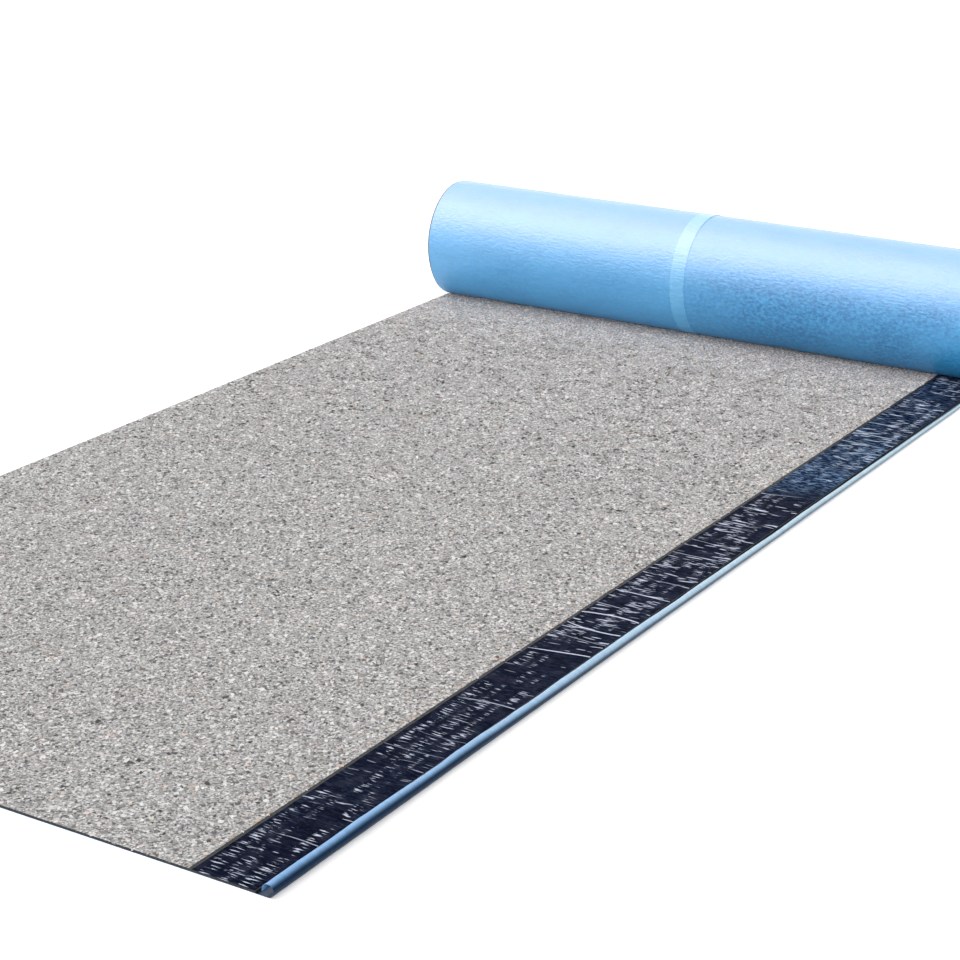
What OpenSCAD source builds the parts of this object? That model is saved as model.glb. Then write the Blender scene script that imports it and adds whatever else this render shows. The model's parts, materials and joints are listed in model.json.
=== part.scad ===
// Roll of self-adhesive roofing felt, partly unrolled with its granules up.
// X runs across the sheet, Y along it and Z up. The roll lies at +Y, and the
// unrolled lead runs from under it to -Y, flat on the floor.
// Profiles are drawn as [across, height]: the height is taken from the floor on
// the lead, and it becomes the depth below the outside of the turn on the roll.

/* [Sheet] */
// Length of the whole sheet, wound and unrolled
stock_length = 10000; // [7000:100:15000]
// Length of the lead, from under the roll's axis to the cut end
lead_length = 1900; // [600:10:3000]
// Width of the sheet
sheet_width = 1000; // [600:10:1200]
// Thickness of the felt with its granules
felt_t = 3.5; // [2.5:0.1:5]
// Width of the selvage, the strip without granules
selvage_width = 80; // [50:5:120]
// Height of the granules over the selvage
granule_t = 0.8; // [0.4:0.1:1.2]

/* [Winding] */
// Diameter of the bore
bore_d = 60; // [40:1:90]
// Depth to which each turn beds into the granules below it
bedding = 0.3; // [0.25:0.05:0.5]
// Width of the groove between two turns, on the roll's ends
groove_width = 0.8; // [0.4:0.1:1.2]
// Depth of that groove
groove_depth = 2; // [1:0.5:4]

/* [Films] */
// Thickness of each film
film_t = 0.1; // [0.05:0.05:0.1]
// Place of the lap's middle, measured from the middle of the sheet
lap_offset = -12; // [-100:1:100]
// Width of the lap of the left release film over the right one
lap_width = 26; // [15:1:60]
// Reach of the loose edge of the right film beyond the felt, flat part only
hem_reach = 12; // [8:1:20]
// Radius to which that edge curls up
hem_r = 5.5; // [4:0.5:8]
// Angle through which it curls
hem_angle = 280; // [180:10:290]
// Margin that the selvage film leaves at each of its long edges
selvage_margin = 1; // [0.5:0.5:5]

/* [Hidden] */
$fn = 96;

// Half of the width, where the felt's two long edges lie
edge = sheet_width / 2;
// Height of the felt's underside, over the lap and over the film
felt_z = 2 * film_t;
// Height of the granules and of the selvage
sheet_t = felt_z + felt_t;
selvage_z = sheet_t - granule_t;
// Growth of the radius with each turn
turn_pitch = sheet_t - bedding;

// The back half of the roll has radius roll_r. The front half is smaller by half
// a pitch and its centre is higher by as much, so that the two halves meet on top
// and the front half comes down on the lead, as the turns of a spiral do. The
// radius follows from the area of the wound length seen on end, to a hundredth.
bore_r = bore_d / 2;
end_area = (stock_length - lead_length) * turn_pitch;
square_r = end_area / PI + pow(bore_r, 2);
spiral_r = (turn_pitch + sqrt(16 * square_r - pow(turn_pitch, 2))) / 4;
roll_r = round(100 * spiral_r) / 100;
front_r = roll_r - turn_pitch / 2;
turns = floor((roll_r - bore_r) / turn_pitch) - 1;
// Depth at which the wound profile is deep inside the bore
core_depth = roll_r - bore_r + turn_pitch;

// Whole angle from the lowest point at which the outer films clear the granules
nip_angle = ceil(acos(1 - (bedding + film_t) / front_r));
// Edges of the lap, and the width of the step by which the left film climbs
lap_from = lap_offset - lap_width / 2;
lap_to = lap_offset + lap_width / 2;
lap_step = 1;
// Centre of the curled edge, and where it ends in front of the roll
hem_x = edge + hem_reach;
hem_z = film_t + hem_r;
hem_end = sqrt(pow(roll_r, 2) - pow(roll_r - 2 * hem_r, 2)) + 2 * hem_r;
hem_steps = 28;

// Moves the part so that its origin is under the middle of its extent
module place() {
    translate([-(hem_reach + hem_r) / 2, (lead_length - roll_r) / 2, 0]) children();
}

// Sweeps a profile along the lead between two distances from the roll's axis
module along_lead(from, to) {
    translate([0, -from, 0]) rotate([90, 0, 0]) linear_extrude(to - from) children();
}

// Sweeps a profile round half a turn behind the axis, from the lowest point up
module half_turn(radius, start) {
    rotate([0, 90, 0])
        rotate_extrude(angle = 180 - start, start = start)
            translate([radius, 0]) rotate(90) children();
}

module back_half() {
    translate([0, 0, roll_r]) half_turn(roll_r, 0) children();
}

module front_half(start = 0) {
    translate([0, 0, roll_r + turn_pitch / 2]) mirror([0, 1, 0]) half_turn(front_r, start) children();
}

// Felt on the lead, with the selvage lower than the granules
module lead_profile() {
    polygon([
        [-edge, felt_z],
        [edge, felt_z],
        [edge, selvage_z],
        [edge - selvage_width, selvage_z],
        [edge - selvage_width, sheet_t],
        [-edge, sheet_t]
    ]);
}

// Points of the grooves between the turns, on the end at the side -1 or 1
function grooves(side) = [
    for (turn = [1 : turns], step = [-1 : 1])
        [side * (edge - (step == 0 ? groove_depth : 0)), turn * turn_pitch + step * groove_width / 2]
];

function reversed(points) = [for (i = [len(points) - 1 : -1 : 0]) points[i]];

// All turns of the felt down to the bore
module wound_profile() {
    polygon(concat(
        [[-edge, felt_z]],
        grooves(-1),
        [[-edge, core_depth], [edge, core_depth]],
        reversed(grooves(1)),
        [[edge, felt_z]]
    ));
}

module left_film_profile() {
    polygon([
        [-edge, film_t],
        [lap_from - lap_step, film_t],
        [lap_from - lap_step, 0],
        [lap_to, 0],
        [lap_to, film_t],
        [lap_from, film_t],
        [lap_from, felt_z],
        [-edge, felt_z]
    ]);
}

module right_film_profile() {
    translate([lap_from, film_t]) square([edge - lap_from, film_t]);
}

// Points round the curled edge, from its lowest point outward and up
function curl(radius) = [
    for (i = [0 : hem_steps])
        let (angle = hem_angle * i / hem_steps - 90)
            [hem_x + radius * cos(angle), hem_z + radius * sin(angle)]
];

// Flat reach from the felt's edge and the curl that it ends in
module hem_profile() {
    polygon(concat(
        [[edge, felt_z], [edge, film_t]],
        curl(hem_r),
        reversed(curl(hem_r - film_t))
    ));
}

// The felt is one sheet: the wound turns with the bore, and the lead
module felt() {
    color("dimgray")
        difference() {
            union() {
                along_lead(0, lead_length) lead_profile();
                back_half() wound_profile();
                front_half() wound_profile();
            }
            translate([0, 0, roll_r])
                rotate([0, 90, 0])
                    cylinder(d = bore_d, h = 2 * sheet_width, center = true);
        }
}

// Film on the left half of the underside, over the right one at the lap
module release_film_left() {
    color("lightskyblue")
        union() {
            along_lead(0, lead_length) left_film_profile();
            back_half() left_film_profile();
            front_half(nip_angle) left_film_profile();
        }
}

// Film on the right half of the underside
module release_film_right() {
    color("deepskyblue")
        union() {
            along_lead(0, lead_length) right_film_profile();
            back_half() right_film_profile();
            front_half(nip_angle) right_film_profile();
        }
}

// Loose edge of the right film, which curls up beside the lead
module film_hem() {
    color("skyblue") along_lead(hem_end, lead_length) hem_profile();
}

// Dark film on the selvage of the lead
module selvage_film() {
    color("midnightblue")
        along_lead(0, lead_length)
            translate([edge - selvage_width + selvage_margin, selvage_z])
                square([selvage_width - 2 * selvage_margin, film_t]);
}

place() felt();
place() release_film_left();
place() release_film_right();
place() film_hem();
place() selvage_film();
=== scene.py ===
# A partly unrolled roll of self-adhesive roofing felt: the sheet wound as a true
# spiral, its mineral granules, the creased blue release films and the dark selvage
# film. Lengths are in metres. X runs across the sheet, Y along it and Z up.
import json
import math

import bpy
import numpy as np
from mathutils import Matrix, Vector


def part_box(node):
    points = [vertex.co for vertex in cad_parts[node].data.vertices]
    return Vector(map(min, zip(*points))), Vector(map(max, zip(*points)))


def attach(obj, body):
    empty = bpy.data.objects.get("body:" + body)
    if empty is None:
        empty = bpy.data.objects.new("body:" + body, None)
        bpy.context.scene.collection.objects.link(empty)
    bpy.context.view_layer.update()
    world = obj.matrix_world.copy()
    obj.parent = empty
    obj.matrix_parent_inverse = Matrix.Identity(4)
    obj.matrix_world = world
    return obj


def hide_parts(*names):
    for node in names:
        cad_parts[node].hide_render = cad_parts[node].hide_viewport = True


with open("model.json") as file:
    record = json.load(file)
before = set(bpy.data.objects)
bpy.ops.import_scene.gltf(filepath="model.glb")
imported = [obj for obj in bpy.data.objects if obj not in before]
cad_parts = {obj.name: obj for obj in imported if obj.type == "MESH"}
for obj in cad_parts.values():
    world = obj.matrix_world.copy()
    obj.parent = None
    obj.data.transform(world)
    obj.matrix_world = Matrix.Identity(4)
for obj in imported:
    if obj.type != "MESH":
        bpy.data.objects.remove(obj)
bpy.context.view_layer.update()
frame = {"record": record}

# Sizes taken from the frame
felt_low, felt_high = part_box("felt")
left_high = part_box("release_film_left")[1]
right_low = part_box("release_film_right")[0]
hem_low, hem_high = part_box("film_hem")
selvage_low, selvage_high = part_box("selvage_film")
core = next(m for m in frame["record"]["mounts"] if m["name"] == "core_bore")

LEFT, RIGHT = felt_low[0], felt_high[0]
CUT_END = felt_low[1]
AXIS_Y, ROLL_R = core["pos_m"][1], core["pos_m"][2]
BORE_R = core["dims"]["r_mm"] / 1000
LEAD = AXIS_Y - CUT_END
FELT_Z = felt_low[2]
FILM_Z = right_low[2]
FILM_T = selvage_high[2] - selvage_low[2]
LAP_FROM, LAP_TO = right_low[0], left_high[0]
SELVAGE_X, SELVAGE_Z = selvage_low[0], selvage_low[2]
STRIP_EDGE = selvage_high[0]
HEM_LENGTH = hem_high[1] - hem_low[1]

# The sheet's own thicknesses
GRANULE_T = 0.0008
SHEET_T = SELVAGE_Z + GRANULE_T
BEDDING = 0.0003
PITCH = SHEET_T - BEDDING

# Distances along the sheet, from its cut end to the end inside the bore, where a
# share of the last half turn is left off
HALF_TURNS = int(2 * (ROLL_R - SHEET_T - BORE_R) / PITCH) + 1
HALF_RADII = ROLL_R - np.arange(HALF_TURNS) * PITCH / 2
HALF_STARTS = LEAD + np.concatenate([[0], np.cumsum(np.pi * HALF_RADII)])
OUTER_TURN = HALF_STARTS[2]
LAST_LEFT_OFF = 0.3
INNER_END = HALF_STARTS[-1] - LAST_LEFT_OFF * np.pi * HALF_RADII[-1]

# The roll's foot: how far it settles in front and behind, the wound angle over which
# that fades out, the angles from the lowest point between which it grows, the gap to
# the floor, and the least cosine by which the height over the floor is divided
SETTLE = 0.0050
SETTLE_BEHIND = 0.0025
SETTLE_ANGLE = 24 * np.pi
SETTLE_FROM, SETTLE_FULL = np.radians(80), np.radians(16)
FLOOR_GAP = 0.0004
LEAST_COSINE = 0.2

# Length after the lead over which the films take on their creases and insets
TAKE_OFF = 0.05

# Spacing of the points along the wound sheet
WOUND_STEP = 0.0055

# Cells of a noise table, the angle from which an edge is shaded sharp, and a number
# that keeps a divisor off zero
NOISE_CELLS = 128
SHARP_ANGLE = math.radians(50)
TINY = 1e-15

rng = np.random.default_rng(4587)


# Shape helpers

def sheet_frame(s):
    """Place, inward direction and bulge of the sheet's outer face, s metres from its cut end.

    The turns bulge a little near the floor, where the roll's weight flattens them.
    """
    half = np.clip(np.searchsorted(HALF_STARTS, s, side="right") - 1, 0, HALF_TURNS - 1)
    radius = HALF_RADII[half]
    angle = (s - HALF_STARTS[half]) / radius + np.pi * half
    centre = ROLL_R + (half % 2) * PITCH / 2
    wound = s > LEAD
    y = np.where(wound, AXIS_Y + radius * np.sin(angle), CUT_END + s)
    z = np.where(wound, centre - radius * np.cos(angle), 0.0)
    inward_y = np.where(wound, -np.sin(angle), 0.0)
    inward_z = np.where(wound, np.cos(angle), 1.0)
    foot = np.abs((angle + np.pi) % (2 * np.pi) - np.pi)
    height = np.maximum(radius * (1 - np.cos(foot)) - FLOOR_GAP, 0)
    room = height / np.maximum(np.cos(foot), LEAST_COSINE)
    settle = np.where(np.sin(angle) < 0, SETTLE, SETTLE_BEHIND) * np.clip(1 - angle / SETTLE_ANGLE, 0, 1)
    settled = settle * smooth_step(foot, SETTLE_FROM, SETTLE_FULL)
    bulge = settled * room / np.cbrt(settled ** 3 + room ** 3 + TINY)
    return y, z, inward_y, inward_z, np.where(wound, bulge, 0.0)


def on_sheet(s, x, height):
    """Points at a height over the sheet's outer face, for grids of s and x."""
    y, z, inward_y, inward_z, bulge = sheet_frame(s)
    depth = height - bulge
    return np.stack([x, y + depth * inward_y, z + depth * inward_z], axis=-1)


def noise(u, v, size, seed):
    """Smooth noise from -1 to 1 with features of about that size."""
    table = np.random.default_rng(seed).uniform(-1, 1, (NOISE_CELLS, NOISE_CELLS))
    u, v = np.broadcast_arrays(np.asarray(u) / size, np.asarray(v) / size)
    iu, iv = np.floor(u).astype(int), np.floor(v).astype(int)
    fu, fv = u - iu, v - iv
    fu, fv = fu * fu * (3 - 2 * fu), fv * fv * (3 - 2 * fv)
    corner = [[table[(iu + a) % NOISE_CELLS, (iv + b) % NOISE_CELLS] for b in (0, 1)] for a in (0, 1)]
    near = corner[0][0] * (1 - fv) + corner[0][1] * fv
    far = corner[1][0] * (1 - fv) + corner[1][1] * fv
    return near * (1 - fu) + far * fu


def ridges(u, v, size, seed, sharpness=3):
    """Sharp creases: 1 along thin lines, falling away to 0 between them."""
    return np.clip(1 - sharpness * np.abs(noise(u, v, size, seed)), 0, 1) ** 2


def smooth_step(value, start, end):
    """0 before the start and 1 after the end, with a smooth change between them."""
    t = np.clip((value - start) / (end - start), 0, 1)
    return t * t * (3 - 2 * t)


def along_sheet(s, stations):
    """An amount along the sheet, given in pairs of distance from the cut end and amount."""
    at, amount = np.array(stations).T
    return np.interp(s, at, amount)


def off_lead(s):
    """0 on the lead and 1 on the roll."""
    return smooth_step(s, LEAD, LEAD + TAKE_OFF)


def mesh_piece(name, points, faces, materials, face_material=None, uv=None, smooth=True, marks=None):
    """An object from arrays of points and of faces with the same number of corners.

    Marks are numbers on its points that a material reads by name.
    """
    mesh = bpy.data.meshes.new(name)
    count, corners = faces.shape
    mesh.vertices.add(len(points))
    mesh.vertices.foreach_set("co", points.astype(np.float32).ravel())
    mesh.loops.add(count * corners)
    mesh.loops.foreach_set("vertex_index", faces.astype(np.int32).ravel())
    mesh.polygons.add(count)
    mesh.polygons.foreach_set("loop_start", np.arange(0, count * corners, corners, dtype=np.int32))
    if face_material is not None:
        mesh.polygons.foreach_set("material_index", face_material.astype(np.int32))
    for material in materials:
        mesh.materials.append(material)
    if uv is not None:
        layer = mesh.uv_layers.new(name="OFBake")
        layer.data.foreach_set("uv", uv.astype(np.float32).ravel())
    for mark, values in (marks or {}).items():
        layer = mesh.attributes.new(mark, "FLOAT", "POINT")
        layer.data.foreach_set("value", values.astype(np.float32).ravel())
    mesh.update(calc_edges=True)
    mesh.validate()
    mesh.polygons.foreach_set("use_smooth", np.full(count, smooth))
    if smooth:
        mesh.set_sharp_from_angle(angle=SHARP_ANGLE)
    piece = bpy.data.objects.new(name, mesh)
    bpy.context.collection.objects.link(piece)
    return piece


def grid_faces(rows, columns, first):
    """Quads of a grid of points, counted from a first index."""
    index = first + np.arange(rows * columns).reshape(rows, columns)
    quads = [index[:-1, :-1], index[:-1, 1:], index[1:, 1:], index[1:, :-1]]
    return np.stack([q.ravel() for q in quads], axis=-1)


def closed_sheet(lower, upper):
    """Points, quads and kinds of a thin closed solid between two grids of points.

    The kinds are 0 on the upper grid, 1 on the lower one and 2 on the rim.
    """
    rows, columns = lower.shape[:2]
    count = rows * columns
    index = np.arange(count).reshape(rows, columns)
    top = grid_faces(rows, columns, count)
    bottom = grid_faces(rows, columns, 0)[:, ::-1]
    rim = np.concatenate([index[0, :-1], index[:-1, -1], index[-1, :0:-1], index[:0:-1, 0]])
    ahead = np.roll(rim, -1)
    side = np.stack([rim, ahead, ahead + count, rim + count], axis=-1)
    points = np.concatenate([lower.reshape(-1, 3), upper.reshape(-1, 3)])
    faces = np.concatenate([top, bottom, side])
    kinds = np.concatenate([np.zeros(len(top)), np.ones(len(bottom)), np.full(len(side), 2)])
    return points, faces, kinds


def sheet_uv(rows, columns, faces, kinds):
    """A flat map of a closed sheet: the upper grid on the left half, the rest on the right."""
    count = rows * columns
    v, u = np.divmod(faces % count, columns)
    u = u / (columns - 1)
    v = v / (rows - 1)
    return np.stack([(u + (kinds > 0)[:, None]) * 0.5, v], axis=-1)


# Material helpers

class Look:
    """A procedural material, built node by node around one Principled shader."""

    def __init__(self, name):
        self.material = bpy.data.materials.new(name)
        self.material.use_nodes = True
        self.tree = self.material.node_tree
        self.shader = self.tree.nodes["Principled BSDF"]
        self.place = self.tree.nodes.new("ShaderNodeTexCoord").outputs["Object"]

    def set(self, **values):
        """Constants on the shader's own sockets."""
        for key, value in values.items():
            self.shader.inputs[key.replace("_", " ")].default_value = value

    def link(self, source, target):
        self.tree.links.new(source, target)

    def stretched(self, scale):
        """The object's own coordinates, scaled along each axis."""
        node = self.tree.nodes.new("ShaderNodeMapping")
        node.inputs["Scale"].default_value = scale
        self.link(self.place, node.inputs["Vector"])
        return node.outputs["Vector"]

    def noise(self, scale, detail, place=None, roughness=0.5):
        node = self.tree.nodes.new("ShaderNodeTexNoise")
        node.inputs["Scale"].default_value = scale
        node.inputs["Detail"].default_value = detail
        node.inputs["Roughness"].default_value = roughness
        self.link(place or self.place, node.inputs["Vector"])
        return node.outputs["Fac"]

    def cells(self, scale):
        node = self.tree.nodes.new("ShaderNodeTexVoronoi")
        node.inputs["Scale"].default_value = scale
        self.link(self.place, node.inputs["Vector"])
        return node.outputs["Distance"]

    def attribute(self, name):
        node = self.tree.nodes.new("ShaderNodeAttribute")
        node.attribute_name = name
        return node.outputs["Fac"]

    def ramp(self, factor, stops):
        """A ramp through stops, in pairs of position and colour or grey."""
        node = self.tree.nodes.new("ShaderNodeValToRGB")
        while len(node.color_ramp.elements) < len(stops):
            node.color_ramp.elements.new(0.5)
        for element, (position, colour) in zip(node.color_ramp.elements, stops):
            element.position = position
            element.color = (*colour, 1) if isinstance(colour, tuple) else (colour, colour, colour, 1)
        self.link(factor, node.inputs["Fac"])
        return node.outputs["Color"]

    def mix(self, factor, first, second, blend="MIX"):
        """A mix of two colours, each a socket or a constant.

        Its sockets go by number, because those of all data types share their names.
        """
        node = self.tree.nodes.new("ShaderNodeMix")
        node.data_type = "RGBA"
        node.blend_type = blend
        for value, socket in ((factor, 0), (first, 6), (second, 7)):
            if isinstance(value, bpy.types.NodeSocket):
                self.link(value, node.inputs[socket])
            else:
                node.inputs[socket].default_value = (*value, 1) if isinstance(value, tuple) else value
        return node.outputs[2]

    def times(self, first, second):
        return self.mix(1.0, first, second, "MULTIPLY")

    def bump(self, height, strength, distance):
        """A bump on top of those that the shader has already."""
        node = self.tree.nodes.new("ShaderNodeBump")
        node.inputs["Strength"].default_value = strength
        node.inputs["Distance"].default_value = distance
        self.link(height, node.inputs["Height"])
        before = self.shader.inputs["Normal"]
        if before.is_linked:
            self.link(before.links[0].from_socket, node.inputs["Normal"])
        self.link(node.outputs["Normal"], before)

    def colour(self, socket):
        self.link(socket, self.shader.inputs["Base Color"])

    def roughness(self, socket):
        self.link(socket, self.shader.inputs["Roughness"])

    def specular_tint(self, socket):
        self.link(socket, self.shader.inputs["Specular Tint"])


def mineral_look():
    """Fine sand between the larger granules, bedded in bitumen."""
    look = Look("mineral_bed")
    look.set(Roughness=0.9, IOR=1.2)
    look.colour(look.ramp(look.noise(scale=330, detail=3), [
        (0.3, (0.09, 0.088, 0.087)),
        (0.5, (0.5, 0.49, 0.488)),
        (0.7, (0.96, 0.942, 0.937)),
    ]))
    look.bump(look.cells(scale=900), strength=0.6, distance=0.0006)
    return look.material


def granule_look():
    """Crushed stone: each chip has its own tone, with a little dust on it."""
    look = Look("stone_granules")
    look.set(Roughness=0.85, IOR=1.2)
    # The tone and warm marks carry painted light near the roll
    tone = look.ramp(look.attribute("tone"), [
        (0.0, (0.045, 0.043, 0.042)),
        (0.35, (0.44, 0.43, 0.428)),
        (0.7, (0.88, 0.862, 0.858)),
        (1.0, (1.0, 0.985, 0.98)),
    ])
    tone = look.mix(look.attribute("warm"), tone, (0.9, 0.69, 0.54))
    dust = look.ramp(look.noise(scale=1500, detail=2), [(0.35, 0.82), (0.65, 1.1)])
    patches = look.ramp(look.noise(scale=45, detail=3), [
        (0.35, (0.975, 1.0, 0.985)),
        (0.65, (1.01, 0.965, 0.975)),
    ])
    look.colour(look.times(look.times(tone, dust), patches))
    return look.material


def bitumen_look():
    """Black cut edges with a dull, slightly ragged surface."""
    look = Look("bitumen_edge")
    look.set(IOR=1.3)
    look.colour(look.ramp(look.noise(scale=400, detail=4), [(0.3, 0.010), (0.7, 0.045)]))
    look.roughness(look.ramp(look.noise(scale=250, detail=3), [(0.3, 0.45), (0.7, 0.8)]))
    look.bump(look.noise(scale=900, detail=3), strength=0.5, distance=0.0004)
    return look.material


def film_look(name, dark, light):
    """Satin blue film: fine streaks along the roll, paler flecks that are painted glints where the film
    is crinkled, and painted shade low on the front of the roll, at its foot and where its highlight
    falls.
    """
    look = Look(name)
    look.set(IOR=1.9, Specular_Tint=(1.0, 0.9, 0.96, 1))
    streaks = look.noise(scale=330, detail=4, place=look.stretched((0.22, 1.0, 1.0)), roughness=0.65)
    flecks = look.noise(scale=220, detail=4, place=look.stretched((0.7, 1.0, 1.0)), roughness=0.66)
    clouds = look.noise(scale=30, detail=5, place=look.stretched((0.35, 1.0, 1.0)), roughness=0.6)
    crumple_shade_mask = look.attribute("crumple")
    shaded = look.times(crumple_shade_mask, crumple_shade_mask)
    blue = look.ramp(clouds, [(0.3, dark), (0.7, light)])
    # Painted shade where the highlight falls: less green, so that the highlight looks whiter
    blue = look.mix(look.attribute("crest"), blue, look.times(blue, (1.0, 0.81, 0.945)))
    # Painted shade: the film is darkened where the mask is high, low on the front of the roll and on its
    # right half
    blue = look.mix(shaded, blue, look.times(blue, (0.15, 0.45, 0.58)))
    blue = look.times(blue, look.ramp(streaks, [(0.35, 0.86), (0.65, 1.0)]))
    # Paler flecks where the mask is high: painted glints of the crinkled film
    pale = look.times(look.ramp(flecks, [(0.38, 0.0), (0.7, 0.78)]), crumple_shade_mask)
    blue = look.mix(pale, blue, (0.10, 0.50, 0.90))
    # Painted shade at the roll's foot, read from the foot mark
    look.colour(look.mix(look.attribute("foot"), blue, look.times(blue, (0.3, 0.74, 0.78))))
    look.roughness(look.ramp(streaks, [(0.3, 0.36), (0.7, 0.5)]))
    look.bump(streaks, strength=1.0, distance=0.0007)
    look.bump(flecks, strength=1.0, distance=0.0006)
    return look.material


def selvage_look():
    """Dark film over the bitumen, with painted glints along its creases, a painted sky reflection in
    patches, and rows of plain strokes.
    """
    look = Look("selvage_film_navy")
    look.set(IOR=1.02)
    navy = look.ramp(look.noise(scale=45, detail=6, roughness=0.7), [
        (0.35, (0.0008, 0.0015, 0.010)),
        (0.5, (0.006, 0.008, 0.024)),
        (0.65, (0.026, 0.027, 0.048)),
    ])
    # Painted sky reflection: a bluish tint in patches, which also turns the pale marks bluer
    steel = look.attribute("steel")
    fine = look.noise(scale=310, detail=3, place=look.stretched((0.25, 1.0, 1.0)), roughness=0.6)
    # Fine streaks of painted glints, where the painted sky reflection is
    streaks = look.times(look.ramp(fine, [(0.5, 0.0), (0.6, 1.0)]), steel)
    tint = look.mix(streaks, look.mix(steel, navy, (0.008, 0.030, 0.085)), (0.30, 0.47, 0.74))
    bars = look.noise(scale=400, detail=2, place=look.stretched((0.15, 1.0, 0.0)))
    strokes = look.times(look.ramp(bars, [(0.57, 0.0), (0.61, 1.0)]), look.attribute("marking"))
    # Painted glints: the creases are painted pale, as if they caught the light; the strokes are print
    crease_glints = look.ramp(look.attribute("crease"), [(0.35, 0.0), (0.65, 1.0)])
    glints_and_print = look.mix(1.0, crease_glints, strokes, "LIGHTEN")
    white = look.mix(steel, (0.78, 0.83, 1.0), (0.58, 0.78, 1.0))
    look.colour(look.mix(glints_and_print, tint, white))
    look.roughness(look.ramp(look.noise(scale=90, detail=3), [(0.3, 0.2), (0.7, 0.38)]))
    look.bump(fine, strength=0.35, distance=0.0007)
    return look.material


def hem_look():
    """The same film where it curls: paler toward the roll, with painted shade along its foot, the
    underside of the curl.
    """
    look = Look("release_film_hem")
    look.set(IOR=1.3, Roughness=0.4)
    ribs = look.noise(scale=220, detail=3, place=look.stretched((0.3, 1.0, 0.3)))
    # The foot mark is painted shade
    foot = look.attribute("foot")
    blue = look.mix(look.attribute("pale"), (0.23, 0.47, 0.84), (0.68, 0.88, 1.0))
    blue = look.times(blue, look.ramp(ribs, [(0.35, 0.88), (0.65, 1.0)]))
    # Painted shade along the foot: a dark navy colour, and a deep blue tint on its reflections
    look.colour(look.mix(foot, blue, (0.003, 0.02, 0.055)))
    look.specular_tint(look.mix(foot, (0.4, 0.8, 1.0), (0.03, 0.25, 0.6)))
    look.bump(ribs, strength=0.4, distance=0.0006)
    return look.material


# The felt sheet

# Rows along the lead, and the first one on the roll
LEAD_ROWS = 160
FIRST_WOUND = 0.004

# Columns across the sheet: shares of the granular part, up to the step at its edge,
# then the bare part. The widths are those of the step, of the rim and of a column.
GRANULAR_SHARES = [0, 0.003, 0.02, 0.25, 0.5, 0.75, 0.999, 1.0]
GRANULAR_EDGE = SELVAGE_X - 0.001
STEP_WIDTH = 0.0004
RIM_WIDTH = 0.001
COLUMN_WIDTH = 0.02

# Depth of the bed below the tops of the granules, on the lead and on the roll, and
# the gap that opens below the sheet within a short length of the roll
LEAD_BED, WOUND_BED = 0.0005, 0.00045
TURN_GAP = 0.00025
TURN_GAP_LENGTH = 0.02

# Length after the lead over which the turns' edges begin to wander, and the distance
# from the edge within which the sheet follows them
WANDER_START = 0.25
WANDER_REACH = 0.3


def end_wander(s, side):
    """How far each turn's edge stands in from the roll's end, as loosely wound turns do."""
    turn = np.clip((s - LEAD) / WANDER_START, 0, 1)
    slow = noise(s, side * 7.0, size=0.31, seed=21)
    quick = noise(s, side * 3.0, size=0.07, seed=22)
    return turn * (0.0009 + 0.0009 * slow + 0.0003 * quick)


def felt_sheet(materials):
    """The whole sheet as one closed spiral, from its cut end to the end inside the bore."""
    lead_rows = np.linspace(0, LEAD, LEAD_ROWS)
    wound_rows = np.arange(LEAD + FIRST_WOUND, INNER_END, WOUND_STEP)
    s = np.concatenate([lead_rows, wound_rows])[:, None]
    granular = LEFT + (GRANULAR_EDGE - LEFT) * np.array(GRANULAR_SHARES)
    bare_left = [GRANULAR_EDGE + STEP_WIDTH, GRANULAR_EDGE + COLUMN_WIDTH]
    bare_right = [RIGHT - COLUMN_WIDTH, RIGHT - RIM_WIDTH, RIGHT]
    x = np.concatenate([granular, bare_left, bare_right])[None, :] + 0 * s
    inset_left = end_wander(s, -1) * smooth_step(x, LEFT + WANDER_REACH, LEFT)
    inset_right = end_wander(s, 1) * smooth_step(x, RIGHT - WANDER_REACH, RIGHT)
    x = x + inset_left - inset_right
    bed = SHEET_T - np.where(s > LEAD, WOUND_BED, LEAD_BED)
    upper = np.where(np.arange(x.shape[1]) < len(granular), bed, SELVAGE_Z) + 0 * s
    lower = FELT_Z + TURN_GAP * smooth_step(s, LEAD, LEAD + TURN_GAP_LENGTH) + 0 * x
    points, faces, kinds = closed_sheet(on_sheet(s, x, lower), on_sheet(s, x, upper))
    columns = x.shape[1]
    first = (faces % (len(s) * columns)).min(axis=1) % columns
    mineral = (kinds == 0) & (first < len(granular) - 1)
    piece = mesh_piece("felt_sheet", points, faces, materials, np.where(mineral, 0, 1),
                       sheet_uv(len(s), columns, faces, kinds))
    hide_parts("felt")
    return piece


# The granules

# Places of the chips: bands of the lead, spacing, margin at the open edges, the edge
# along the selvage and how ragged it is, and how far before the roll's axis they end
CHIP_BANDS = 4
CHIP_SPACING = 0.0044
CHIP_MARGIN = 0.0012
CHIP_EDGE = SELVAGE_X - 0.0015
CHIP_RAGGED = 0.0012
CHIP_STOP = 0.026

# Shapes of the chips: middle size, spread and limits, skew and reach of the corners,
# heights of the foot, of the top, of a point over it and of the highest corner, tilt,
# the share that lie flat, lean of the point, and the faces of one that lies flat
CHIP_SIZE = 0.0027
CHIP_SPREAD = 0.25
CHIP_SMALLEST, CHIP_LARGEST = 0.0013, 0.0042
CHIP_SKEW = 0.45
CHIP_REACH = (0.6, 1.15)
CHIP_FOOT = SHEET_T - 0.0012
CHIP_TOP = (-0.0005, 0.0002)
CHIP_POINT = 0.0003
CHIP_HIGHEST = SHEET_T + 0.0008
CHIP_TILT = 0.14
CHIP_FLAT = 0.66
CHIP_LEAN = 0.4
CHIP_FACES = np.array([[0, 1, 2], [0, 2, 3], [1, 0, 4], [2, 1, 4], [3, 2, 4], [0, 3, 4]])

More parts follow.
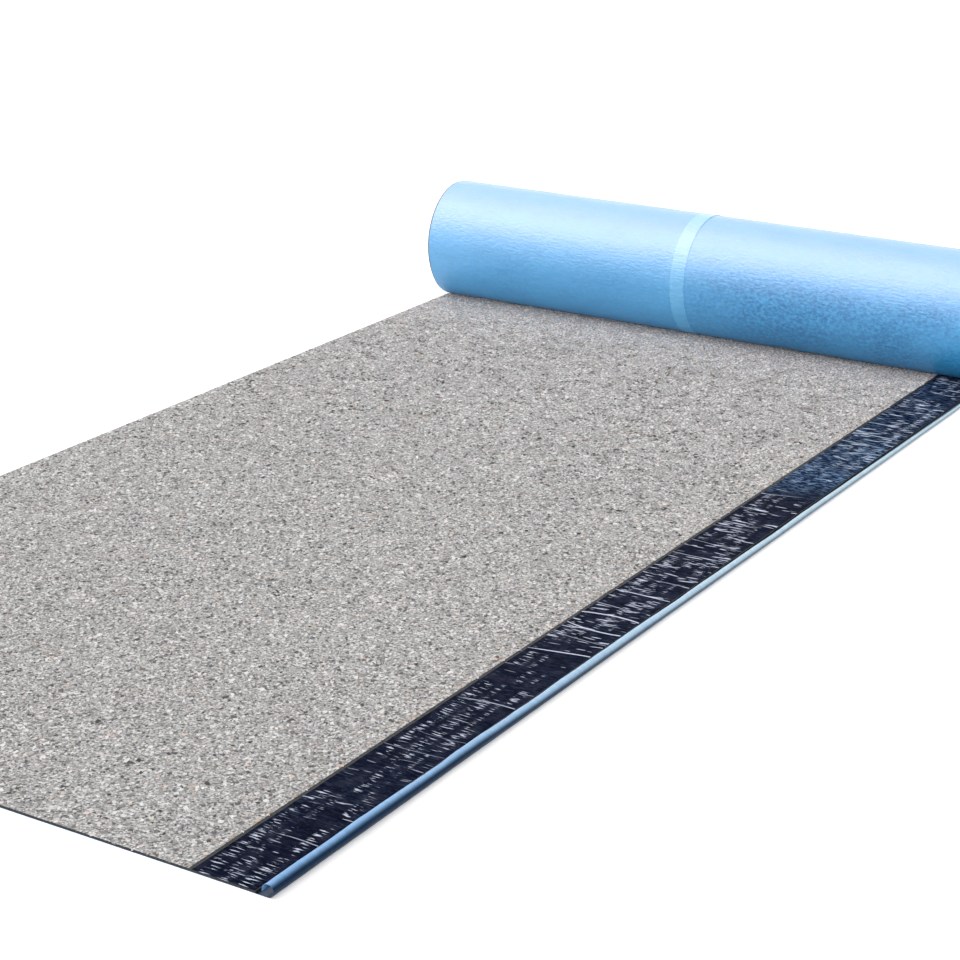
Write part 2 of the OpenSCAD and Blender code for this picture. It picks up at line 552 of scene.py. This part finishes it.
# Tones of the chips: the lengths over which the selvage and the roll change them, the
# roll with painted light, and the places from which warmth and clusters grow toward the roll
SELVAGE_FADE = 0.012
ROLL_FADE = 0.07
ROLL_WARMTH_FADE = 0.11
WARM_FROM = CUT_END + 0.9
CLUSTERS_FROM = CUT_END + 0.6


def granule_bands(material):
    """Chips of crushed stone all over the granular part of the lead, in equal bands."""
    columns = int((CHIP_EDGE - LEFT) / CHIP_SPACING)
    rows = int((LEAD - CHIP_STOP) / CHIP_SPACING)
    across, along = np.meshgrid(np.arange(columns), np.arange(rows))
    jitter = rng.uniform(-0.5, 0.5, (2, rows, columns))
    x = LEFT + CHIP_MARGIN + (across + 0.5 + jitter[0]) * (CHIP_EDGE - LEFT - CHIP_MARGIN) / columns
    s = CHIP_MARGIN + (along + 0.5 + jitter[1]) * CHIP_SPACING
    x, s = x.ravel(), s.ravel()
    keep = x < CHIP_EDGE + CHIP_RAGGED * noise(s, 0.0, size=0.02, seed=31)
    x, s = x[keep], s[keep]
    order = np.argsort(s)
    pieces = []
    for i, chosen in enumerate(np.array_split(order, CHIP_BANDS)):
        pieces.append(granule_piece("granules_%d" % (i + 1), x[chosen], CUT_END + s[chosen], material))
    return pieces


def granule_piece(name, x, y, material):
    """Six-faced chips: two in three lie with a flat face up, the others with a point up."""
    count = len(x)
    size = np.clip(CHIP_SIZE * np.exp(rng.normal(0, CHIP_SPREAD, count)), CHIP_SMALLEST, CHIP_LARGEST)
    turn = rng.uniform(0, 2 * np.pi, count)
    skew = rng.uniform(-CHIP_SKEW, CHIP_SKEW, (count, 4))
    corner = turn[:, None] + np.arange(4) * np.pi / 2 + skew
    reach = size[:, None] * rng.uniform(*CHIP_REACH, (count, 4))
    ring = np.stack([reach * np.cos(corner), reach * np.sin(corner)], axis=-1)
    top = SHEET_T + rng.uniform(*CHIP_TOP, count)
    tilt = rng.normal(0, CHIP_TILT, (count, 2))
    flat = rng.random(count) < CHIP_FLAT
    ring_z = np.where(flat[:, None], top[:, None] + (ring * tilt[:, None, :]).sum(-1), CHIP_FOOT)
    tip = rng.uniform(-CHIP_LEAN, CHIP_LEAN, (count, 2)) * size[:, None]
    points = np.zeros((count, 5, 3))
    points[:, :4, 0] = x[:, None] + ring[..., 0]
    points[:, :4, 1] = y[:, None] + ring[..., 1]
    points[:, :4, 2] = np.minimum(ring_z, CHIP_HIGHEST)
    points[:, 4, 0] = x + tip[:, 0]
    points[:, 4, 1] = y + tip[:, 1]
    points[:, 4, 2] = np.where(flat, CHIP_FOOT, top + CHIP_POINT)
    base = 5 * np.arange(count)[:, None, None]
    turned = np.where(flat[:, None, None], CHIP_FACES, CHIP_FACES[:, ::-1])
    faces = (base + turned).reshape(-1, 3)
    points = points.reshape(-1, 3)
    piece = mesh_piece(name, points, faces, [material], None, granule_uv(points, faces), smooth=False)
    for mark, values in granule_marks(x, y).items():
        layer = piece.data.attributes.new(mark, "FLOAT", "FACE")
        layer.data.foreach_set("value", np.repeat(values, len(CHIP_FACES)).astype(np.float32))
    return piece


def granule_marks(x, y):
    """Tone and warmth of each chip: more warm ones by the selvage, and paler and warmer by the roll,
    painted light against the roll's shade and the blue light from its film.
    """
    count = len(x)
    by_selvage = 0.55 * np.exp((x - SELVAGE_X) / SELVAGE_FADE)
    # Warm chips near the roll are painted light against the blue light from the film
    painted_warmth_by_roll = 0.8 * np.exp((y - AXIS_Y) / ROLL_FADE)
    warm = (rng.random(count) < 0.04 + np.maximum(by_selvage, painted_warmth_by_roll)) * rng.uniform(0.2, 0.8, count)
    # Warmer toward the roll, most of all near it: painted light against the film's blue light
    least_warm = 0.06 * smooth_step(y, WARM_FROM, AXIS_Y) + 0.8 * np.exp((y - AXIS_Y) / ROLL_WARMTH_FADE)
    clusters = 0.02 + 0.44 * smooth_step(y, CLUSTERS_FROM, AXIS_Y)
    cluster = noise(x, y, size=0.011, seed=33) * clusters
    # Painted light: chips paler near the roll, against the shade where it meets the sheet
    painted_nip_light = 0.9 * np.exp((y - AXIS_Y) / ROLL_FADE)
    tone = np.clip(rng.beta(1.1, 1.1, count) + 0.03 + cluster + painted_nip_light, 0, 1)
    return {"tone": tone, "warm": np.maximum(warm, least_warm)}


def granule_uv(points, faces):
    """Faces that look up share one half of the map, the hidden ones the other half."""
    corner = points[faces]
    flat = (corner[..., :2] - points[:, :2].min(0)) / np.ptp(points[:, :2], axis=0)
    first, second = corner[:, 1] - corner[:, 0], corner[:, 2] - corner[:, 0]
    up = first[:, 0] * second[:, 1] - first[:, 1] * second[:, 0] > 0
    flat[..., 0] = (flat[..., 0] + np.where(up, 0, 1)[:, None]) * 0.5
    return flat


# The release films

# Rows on the lead, spacing on the turn that shows, where that turn stops before the
# nip, the gap to the part inside the roll, and how far before the felt that part ends
FILM_LEAD_ROWS = 40
FILM_STEP = 0.005
NIP = 0.010
NIP_GAP = 0.001
FILM_SHORT = 0.01

# Columns of the films, of the lap, and of the part inside the roll
LEFT_COLUMNS, LAP_COLUMNS, RIGHT_COLUMNS, INNER_COLUMNS = 64, 9, 72, 3

# How far the films stand in from the roll's ends
FILM_INSET = 0.0018

# The lap: width of the left film's climb onto the right one, width of the last column
# before it, how far it wanders and stands proud, the lift of its free edge, the width
# that lifts, and the distance on each side of that edge over which the right film's
# creases begin
CLIMB = 0.003
LAP_STEP = 0.001
LAP_WANDER = 0.0012
LAP_PROUD = 0.0002
LAP_LIFT = 0.00008
LAP_LIFT_WIDTH = 0.006
LAP_CALM = 0.01


def film_creases(s, x):
    """Height of the fine creases of the film on the roll, always outward."""
    broad = 0.00012 * (1 + noise(x, s, size=0.06, seed=41))
    narrow = 0.00006 * (1 + noise(x * 0.6, s, size=0.018, seed=42))
    sharp = 0.00014 * ridges(x, s * 0.7, size=0.05, seed=43)
    sharp = sharp + 0.0001 * ridges(x * 0.8, s, size=0.023, seed=44)
    return (broad + narrow + sharp) * off_lead(s)


def front_angle(points):
    """Degrees up from the front of the roll, seen along its axis."""
    return np.degrees(np.arctan2(points[:, 2] - ROLL_R, AXIS_Y - points[:, 1]))


def before_foot(front):
    """Grows from 0 low on the back of the roll to 1 near its lowest point."""
    return smooth_step(front, -170, -110)


def crumple(points):
    """How crinkled the film looks, and with it painted shade: most on the right half, low on the front
    of the roll.
    """
    x, z = points[:, 0], points[:, 2]
    front = front_angle(points)
    # Painted shade grows low on the front of the roll, and more on its right half
    low_front = smooth_step(front, 38, 8) * before_foot(front)
    right = 0.52 + 0.48 * smooth_step(x, LAP_TO - 0.05, LAP_TO + 0.12)
    return np.clip(0.12 + low_front * right * (0.8 + 0.22 * noise(x, z, size=0.07, seed=45)), 0, 1)


def crest(points):
    """Painted shade on the upper front of the roll, where the highlight falls: the film there is painted
    a deeper blue.
    """
    front = front_angle(points)
    return smooth_step(front, 12, 34) * smooth_step(front, 78, 56)


def painted_foot_shade(points):
    """Painted shade low on the front of the roll, where little light comes in: the film there is painted
    a deeper blue.
    """
    front = front_angle(points)
    right = 0.5 + 0.5 * smooth_step(points[:, 0], LAP_FROM, LAP_TO + 0.2)
    return right * smooth_step(front, -8, -42) * before_foot(front)


def film_marks(points):
    """What the film's material reads at each point."""
    return {"crumple": crumple(points), "crest": crest(points), "foot": painted_foot_shade(points)}


def film_rows():
    """Rows along the lead, close together on the turn that shows."""
    on_turn = np.arange(LEAD + FILM_STEP, OUTER_TURN - NIP, FILM_STEP)
    return np.concatenate([np.linspace(0, LEAD, FILM_LEAD_ROWS), on_turn])


def join_shapes(shapes):
    """Several closed shapes as one set of points, faces and map."""
    points, faces, maps, first = [], [], [], 0
    for shape_points, shape_faces, shape_map in shapes:
        points.append(shape_points)
        faces.append(shape_faces + first)
        maps.append(shape_map)
        first += len(shape_points)
    return [np.concatenate(part) for part in (points, faces, maps)]


def film_shape(s, x, outer):
    """A closed film, given the depth of its outer face below the outside of the turn."""
    points, faces, kinds = closed_sheet(on_sheet(s, x, outer), on_sheet(s, x, outer + FILM_T))
    return points, faces, sheet_uv(*x.shape, faces, kinds)


def wound_film(start, end):
    """The part of a film that goes on inside the roll and shows at the ends only."""
    s = np.arange(OUTER_TURN - NIP + NIP_GAP, INNER_END - FILM_SHORT, WOUND_STEP)[:, None]
    x = np.linspace(start, end, INNER_COLUMNS)[None, :] + 0 * s
    proud = 0.0003 + 0.0003 * noise(s, 5.0, size=0.05, seed=51)
    if start == LEFT:
        x[:, :1] += end_wander(s, -1) - proud
    if end == RIGHT:
        x[:, -1:] -= end_wander(s, 1) - proud
    return film_shape(s, x, np.full_like(x, FILM_Z))


def left_release_film(material, lap_material):
    """Film on the left half. Its free edge lies over the right film and lifts a little."""
    s = film_rows()[:, None]
    plain = np.linspace(LEFT, LAP_FROM - LAP_STEP, LEFT_COLUMNS)
    lap = np.linspace(LAP_FROM, LAP_TO, LAP_COLUMNS)
    x = np.concatenate([plain, lap])[None, :] + 0 * s
    on_roll = off_lead(s)
    x[:, :1] += end_wander(s, -1) + FILM_INSET * on_roll
    x = x + on_roll * np.where(x > LAP_FROM, LAP_WANDER, 0) * noise(s, 1.0, size=0.11, seed=61)
    over = smooth_step(x, LAP_FROM - CLIMB, LAP_FROM)
    lift = LAP_LIFT * on_roll * smooth_step(x, LAP_TO - LAP_LIFT_WIDTH, LAP_TO)
    outer = FILM_Z - over * FILM_T - film_creases(s, x) - lift - LAP_PROUD * over * on_roll
    points, faces, uv = join_shapes([film_shape(s, x, outer), wound_film(LEFT, LAP_FROM)])
    centre_x = points[faces][..., 0].mean(1)
    on_lap = np.where(centre_x > LAP_FROM - LAP_STEP / 2, 1, 0)
    piece = mesh_piece("left_release_film", points, faces, [material, lap_material], on_lap, uv,
                       marks=film_marks(points))
    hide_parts("release_film_left")
    return piece


def right_release_film(material):
    """Film on the right half, under the edge of the left one."""
    s = film_rows()[:, None]
    x = np.linspace(LAP_FROM, RIGHT, RIGHT_COLUMNS)[None, :] + 0 * s
    x[:, -1:] -= end_wander(s, 1) + FILM_INSET * off_lead(s)
    outer = FILM_Z - film_creases(s, x) * smooth_step(x, LAP_TO - LAP_CALM, LAP_TO + LAP_CALM)
    points, faces, uv = join_shapes([film_shape(s, x, outer), wound_film(LAP_FROM, RIGHT)])
    piece = mesh_piece("right_release_film", points, faces, [material], None, uv,
                       marks=film_marks(points))
    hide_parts("release_film_right")
    return piece


# The hem

# Rows along the lead, and columns of its flat part and of its curl
HEM_ROWS, HEM_FLAT, HEM_CURL = 330, 5, 34

# Radius of the curl and distance of its centre from the felt, each with its loss per
# metre toward the roll, the angle that it turns through, and the length of its end
HEM_R, HEM_R_LOSS = 0.0071, 0.0027
HEM_OUT, HEM_OUT_LOSS = 0.0138, 0.0028
HEM_TURN = np.radians(285)
HEM_TAIL = 0.14

# How the hem's colour changes along the lead, in pairs of distance and amount: the
# angles up to which it has painted shade and from which it has none, the strength of
# the painted shade along the foot, and the paleness
HEM_SHADED_TO = [(0.0, 28), (0.3, 24), (0.55, 5), (0.9, 4), (1.4, -8)]
HEM_UNSHADED_FROM = [(0.0, 88), (0.3, 80), (0.55, 56), (0.9, 44), (1.4, 58)]
HEM_FOOT_SHADE = [(0.3, 1.0), (0.55, 0.97), (0.9, 0.85), (1.4, 0.7)]
HEM_PALE = [(0.0, 0.0), (0.3, 0.15), (0.55, 0.5), (0.9, 0.8), (1.4, 0.95)]


def curled_hem(material):
    """The right film's loose edge: flat out from under the felt, then curled up and over."""
    s = np.linspace(0, HEM_LENGTH, HEM_ROWS)[:, None]
    fade = smooth_step(s, HEM_LENGTH, HEM_LENGTH - HEM_TAIL)
    radius = (HEM_R - HEM_R_LOSS * s) * (0.5 + 0.5 * fade)
    waves = 0.05 * noise(s, 0.0, size=0.09, seed=71)
    ripples = 0.03 * noise(s, 2.0, size=0.025, seed=72)
    radius = radius * (1 + waves + ripples)
    centre = RIGHT + (HEM_OUT - HEM_OUT_LOSS * s) * (0.5 + 0.5 * fade)
    centre = centre + 0.0005 * noise(s, 4.0, size=0.12, seed=73)
    turned = HEM_TURN * np.linspace(0, 1, HEM_CURL)[None, 1:] - np.pi / 2
    crease = 0.00012 * noise(s, turned * 0.004, size=0.006, seed=74)
    share = np.linspace(0, 1, HEM_FLAT)[None, :]

    def curl(gap):
        """One face of the hem, a gap inside the outer one."""
        r = radius - gap
        flat_x = RIGHT + (centre - RIGHT) * share
        x = np.concatenate([flat_x, centre + (r + crease) * np.cos(turned)], axis=1)
        z = FILM_Z + radius + (r + crease) * np.sin(turned)
        z = np.concatenate([np.full_like(flat_x, FILM_Z + gap), z], axis=1)
        return np.stack([x, CUT_END + s + 0 * x, z], axis=-1)

    points, faces, kinds = closed_sheet(curl(0.0), curl(FILM_T))
    around = np.concatenate([np.full((1, HEM_FLAT), -np.pi / 2), turned], axis=1)
    shaded_to = np.radians(along_sheet(s, HEM_SHADED_TO))
    unshaded_from = np.radians(along_sheet(s, HEM_UNSHADED_FROM))
    # Painted shade on the underside of the curl, fading out toward its top
    foot = (1 - smooth_step(around, shaded_to, unshaded_from)) * along_sheet(s, HEM_FOOT_SHADE)
    pale = along_sheet(s, HEM_PALE) + 0 * around
    marks = {"foot": np.tile(foot.ravel(), 2), "pale": np.tile(pale.ravel(), 2)}
    piece = mesh_piece("curled_film_hem", points, faces, [material], None,
                       sheet_uv(*foot.shape, faces, kinds), marks=marks)
    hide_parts("film_hem")
    return piece


# The selvage film

# Rows, columns, margin at the granules' edge, and how far before the roll's axis it ends
STRIP_ROWS, STRIP_COLUMNS = 1500, 24
STRIP_MARGIN = 0.0035
STRIP_STOP = 0.003

# Heights of the creases and of the buckles, which end just before the roll
CREASE_HEIGHT = 0.0007
BUCKLE_HEIGHT = 0.0002
FREE_FROM, FREE_TO = LEAD - 0.015, LEAD - 0.05

# Fine creases: how many places, before they are thinned out, and limits of half their
# length
FINE_CREASES = 900
FINE_REACH = (0.004, 0.014)

# Creases right across the strip, in pairs of distance and strength, and limits of half
# their length
LONG_CREASES = [
    (0.1, 0.7), (0.32, 0.55), (0.362, 0.5), (0.464, 0.7), (0.626, 0.95), (0.666, 0.6),
    (0.696, 0.9), (0.746, 0.95), (0.774, 0.75), (0.822, 0.95), (0.872, 0.65), (0.97, 0.65),
    (1.02, 0.6), (1.086, 0.55), (1.164, 0.65), (1.23, 0.55), (1.352, 0.5), (1.458, 0.8),
    (1.492, 0.65), (1.534, 0.75), (1.59, 0.6), (1.664, 0.55),
]
LONG_REACH = (0.05, 0.08)

# Limits of each crease's slant, bow and width, how much wider it gets per metre toward
# the roll, and the length on each side within which it is drawn
CREASE_SLANT = (-0.1, 0.25)
CREASE_BOW = (-4, 4)
CREASE_WIDTH = (0.0008, 0.0013)
CREASE_WIDENING = 0.35
CREASE_WINDOW = 0.02

# Rows of bars: their places as shares of the strip's width, and half a row's width
BAR_ROWS = (0.2, 0.5, 0.8)
BAR_ROW_REACH = 0.085

# How the strip changes along the lead, in pairs of distance and amount
CREASE_DENSITY = [
    (0, 0.35), (0.47, 0.35), (0.52, 0.15), (0.62, 0.1), (0.66, 0.8), (1.18, 1.0),
    (1.22, 0.15), (1.28, 0.3), (1.38, 0.6), (1.44, 0.9), (1.6, 0.7), (1.9, 0.7),
]
MARK_DENSITY = [
    (0, 0.64), (0.47, 0.64), (0.53, 0.35), (0.63, 0.25), (0.68, 0.7), (0.95, 0.66), (1.03, 0.44),
    (1.18, 0.5), (1.24, 0.3), (1.38, 0.4), (1.44, 0.6), (1.5, 0.6), (1.9, 0.55),
]
# Strength of the painted sky reflection along the lead
PAINTED_SKY_REFLECTION = [(0, 0.05), (1.22, 0.05), (1.3, 0.6), (1.42, 0.8), (1.5, 0.5), (1.6, 0.3), (1.9, 0.28)]


def draw_creases(height, s, x, creases, reach):
    """Raise thin creases that run across the strip, a little slanted and bowed."""
    for at, high in creases:
        slant, bow = rng.uniform(*CREASE_SLANT), rng.uniform(*CREASE_BOW)
        middle, half = rng.uniform(x[0, 0], x[0, -1]), rng.uniform(*reach)
        wide = rng.uniform(*CREASE_WIDTH) * (1 + CREASE_WIDENING * at)
        rows = slice(*np.searchsorted(s[:, 0], [at - CREASE_WINDOW, at + CREASE_WINDOW]))
        off = x[rows] - middle
        line = np.exp(-(((s[rows] - at - slant * off - bow * off ** 2) / wide) ** 2) - (off / half) ** 4)
        height[rows] = np.maximum(height[rows], high * line)


def selvage_creases(s, x):
    """Share of crease at each place of the selvage film, 1 on the sharpest ones."""
    height = np.zeros_like(x)
    places = rng.uniform(0, LEAD, FINE_CREASES)
    density = along_sheet(places, CREASE_DENSITY)
    strength = rng.uniform(0.3, 0.95, len(places)) * (0.6 + 0.4 * density)
    fine = np.stack([places, strength], axis=-1)[rng.random(len(places)) < density]
    draw_creases(height, s, x, fine, FINE_REACH)
    draw_creases(height, s, x, LONG_CREASES, LONG_REACH)
    return height


def selvage_marking(s, x):
    """Three broken rows of plain bars along the strip."""
    share = (x - SELVAGE_X) / (RIGHT - SELVAGE_X)
    rows = np.maximum.reduce([np.exp(-((share - at) / BAR_ROW_REACH) ** 4) for at in BAR_ROWS])
    density = along_sheet(s, MARK_DENSITY)
    row = np.round(share * 3.3)
    gaps = noise(row * 3.1, s, size=0.045, seed=88)
    broken = smooth_step(gaps + 1.5 * density - 0.8, -0.1, 0.1)
    return rows * broken * (0.8 + 0.2 * density)


def selvage_strip(material):
    """Dark film on the bare edge of the lead, buckled and finely wrinkled, with marks for its painted
    glints and painted sky reflection.
    """
    s = np.linspace(0, LEAD - STRIP_STOP, STRIP_ROWS)[:, None]
    x = np.linspace(SELVAGE_X + STRIP_MARGIN, STRIP_EDGE, STRIP_COLUMNS)[None, :] + 0 * s
    crease = selvage_creases(s, x)
    buckles = 1 + noise(x, s, size=0.02, seed=85)
    raised = CREASE_HEIGHT * crease + BUCKLE_HEIGHT * buckles
    lower = SELVAGE_Z + smooth_step(s, FREE_FROM, FREE_TO) * raised
    points, faces, kinds = closed_sheet(on_sheet(s, x, lower), on_sheet(s, x, lower + FILM_T))
    # Patches of painted sky reflection
    patches = smooth_step(noise(x, s, size=0.07, seed=89), -0.6, 0.4)
    steel = along_sheet(s, PAINTED_SKY_REFLECTION) * (0.55 + 0.45 * patches)
    marks = {"crease": crease, "steel": steel, "marking": selvage_marking(s, x)}
    marks = {key: np.tile(value.ravel(), 2) for key, value in marks.items()}
    piece = mesh_piece("selvage_strip", points, faces, [material], None,
                       sheet_uv(*x.shape, faces, kinds), marks=marks)
    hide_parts("selvage_film")
    return piece


# Studio

# The camera's place from the middle of the sheet, the roll's axis and the floor, its
# turn to the left and its tilt down, its lens and sensor in millimetres, and how far
# it sees
EYE_X, EYE_Y, EYE_Z = 1.710, -3.425, 1.103
YAW, TILT = math.radians(32.28), math.radians(19.73)
LENS, SENSOR = 88.46, 36.0
CLIP_END = 100.0

# Half the floor's size and its height, just below the object
FLOOR_SIZE, FLOOR_Z = 30.0, -0.0002

# Strength of the light from all round, and of the backdrop that the camera sees
AROUND_STRENGTH, BACKDROP_STRENGTH = 0.43, 1.0


def camera():
    """The photograph's viewpoint, found from the sheet's edges and the roll's outline."""
    ahead = Vector((-math.sin(YAW) * math.cos(TILT), math.cos(YAW) * math.cos(TILT), -math.sin(TILT)))
    data = bpy.data.cameras.new("camera")
    data.lens = LENS
    data.sensor_width = SENSOR
    data.clip_end = CLIP_END
    view = bpy.data.objects.new("camera", data)
    view.location = ((LEFT + RIGHT) / 2 + EYE_X, AXIS_Y + EYE_Y, EYE_Z)
    view.rotation_euler = ahead.to_track_quat("-Z", "Y").to_euler()
    bpy.context.collection.objects.link(view)
    bpy.context.scene.camera = view


def soft_sky(name, azimuth, elevation, spread, power, diffuse=True, gloss=True):
    """A wide disc of light, even over the whole floor, seen at that height in the sky."""
    data = bpy.data.lights.new(name, "SUN")
    data.energy = power
    data.angle = math.radians(spread)
    light = bpy.data.objects.new(name, data)
    light.rotation_euler = (math.radians(90 - elevation), 0, math.radians(azimuth))
    light.visible_diffuse = diffuse
    light.visible_glossy = gloss
    bpy.context.collection.objects.link(light)


def floor():
    """A plain pale floor that glows a little, so that it stays white."""
    look = Look("pale_floor")
    look.set(Roughness=1.0, IOR=1.2, Base_Color=(0.93, 0.93, 0.93, 1))
    look.set(Emission_Color=(1, 1, 1, 1), Emission_Strength=0.4)
    square = ((-1, -1), (1, -1), (1, 1), (-1, 1))
    corners = np.array([[x * FLOOR_SIZE, y * FLOOR_SIZE, FLOOR_Z] for x, y in square])
    mesh_piece("pale_floor", corners, np.array([[0, 1, 2, 3]]), [look.material])


def studio_world():
    """Even light from all round, and a white backdrop beyond the floor."""
    world = bpy.data.worlds.new("studio")
    world.use_nodes = True
    tree = world.node_tree
    light = tree.nodes["Background"]
    backdrop = tree.nodes.new("ShaderNodeBackground")
    for background, strength in ((light, AROUND_STRENGTH), (backdrop, BACKDROP_STRENGTH)):
        background.inputs["Color"].default_value = (1, 1, 1, 1)
        background.inputs["Strength"].default_value = strength
    seen = tree.nodes.new("ShaderNodeLightPath")
    mix = tree.nodes.new("ShaderNodeMixShader")
    tree.links.new(seen.outputs["Is Camera Ray"], mix.inputs["Fac"])
    tree.links.new(light.outputs["Background"], mix.inputs[1])
    tree.links.new(backdrop.outputs["Background"], mix.inputs[2])
    tree.links.new(mix.outputs["Shader"], tree.nodes["World Output"].inputs["Surface"])
    return world


def studio():
    """The floor, the backdrop and the lights. Some lights only show as gloss, one only as fill."""
    bpy.context.scene.world = studio_world()
    bpy.context.scene.view_settings.view_transform = "Standard"
    soft_sky("overhead", azimuth=-62, elevation=59, spread=70, power=0.65)
    soft_sky("overhead_gloss", azimuth=-62, elevation=64, spread=70, power=4.8, diffuse=False)
    soft_sky("side_gloss", azimuth=-60, elevation=25, spread=50, power=2.0, diffuse=False)
    soft_sky("behind_gloss", azimuth=-152, elevation=25, spread=70, power=2.5, diffuse=False)
    soft_sky("front", azimuth=0, elevation=40, spread=90, power=0.7)
    soft_sky("low_front", azimuth=0, elevation=10, spread=60, power=1.5, gloss=False)
    floor()


# Everything together

bitumen = bitumen_look()
film = film_look("release_film_blue", dark=(0.08, 0.39, 0.75), light=(0.105, 0.452, 0.84))
lap_film = film_look("release_film_lap", dark=(0.19, 0.57, 0.94), light=(0.22, 0.62, 1.0))

pieces = [
    (felt_sheet([mineral_look(), bitumen]), "felt"),
    (left_release_film(film, lap_film), "release_film"),
    (right_release_film(film), "release_film"),
    (curled_hem(hem_look()), "release_film"),
    (selvage_strip(selvage_look()), "selvage_film"),
]
pieces += [(piece, "felt") for piece in granule_bands(granule_look())]
for piece, slot in pieces:
    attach(piece, "root")

camera()
studio()
